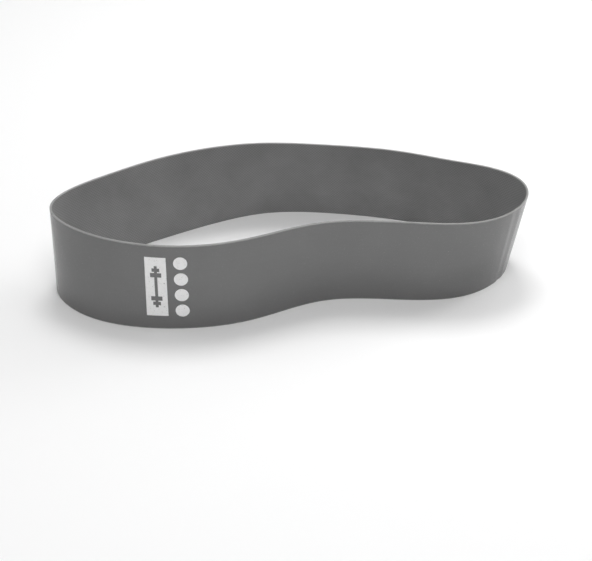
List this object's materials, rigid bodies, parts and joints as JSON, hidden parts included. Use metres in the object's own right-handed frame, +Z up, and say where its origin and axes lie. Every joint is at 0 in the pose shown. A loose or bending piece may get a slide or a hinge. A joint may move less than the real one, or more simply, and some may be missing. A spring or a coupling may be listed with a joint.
{
  "type": "loop resistance band",
  "caption": "Flat closed loop of rubber strip for resistance exercise, standing open on its cut edge, with a printed panel and level pips; it stretches along its length against a spring.",
  "frame": {"origin": "on the floor under the middle of the band's box", "axes": "+X along the loop's long axis, +Y to the back run, +Z up from the lower cut edge"},
  "size_m": [0.2618, 0.1202, 0.05],
  "materials": {
    "rubber": "satin",
    "ink": "matt"
  },
  "bodies": {
    "left_half": {"left_bend": "rubber", "front_run_left": "rubber", "back_run_left": "rubber", "print_panel": "ink", "print_pips": "ink"},
    "right_half": {"front_run_right": "rubber", "right_bend": "rubber", "back_run_right": "rubber"}
  },
  "joints": [
    {"name": "stretch", "type": "slide", "parent": "left_half", "child": "right_half", "axis": [1, 0, 0], "range_m": [0, 0.3], "stiffness_N_per_m": 440}
  ]
}
